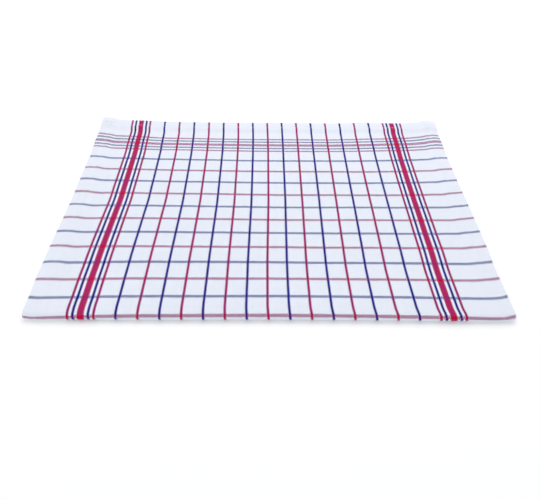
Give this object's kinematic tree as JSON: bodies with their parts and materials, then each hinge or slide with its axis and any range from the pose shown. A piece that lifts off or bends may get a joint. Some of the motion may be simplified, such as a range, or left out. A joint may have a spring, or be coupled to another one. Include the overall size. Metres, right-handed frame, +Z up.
{
  "type": "tea towel",
  "caption": "Cotton tea towel in a red and blue windowpane check, hemmed on all sides and folded once in half, lying flat with its fold to the front.",
  "frame": {"origin": "on the table under the middle of the folded towel", "axes": "+X along the fold, across the width of the cloth; -Y towards the folded edge and +Y towards the two end hems; +Z up"},
  "size_m": [0.5158, 0.3582, 0.0101],
  "materials": {
    "checked_cotton": "matt plain-woven cotton, white ground with red and blue woven stripes"
  },
  "bodies": {
    "root": {"towel": "checked_cotton"}
  },
  "joints": []
}
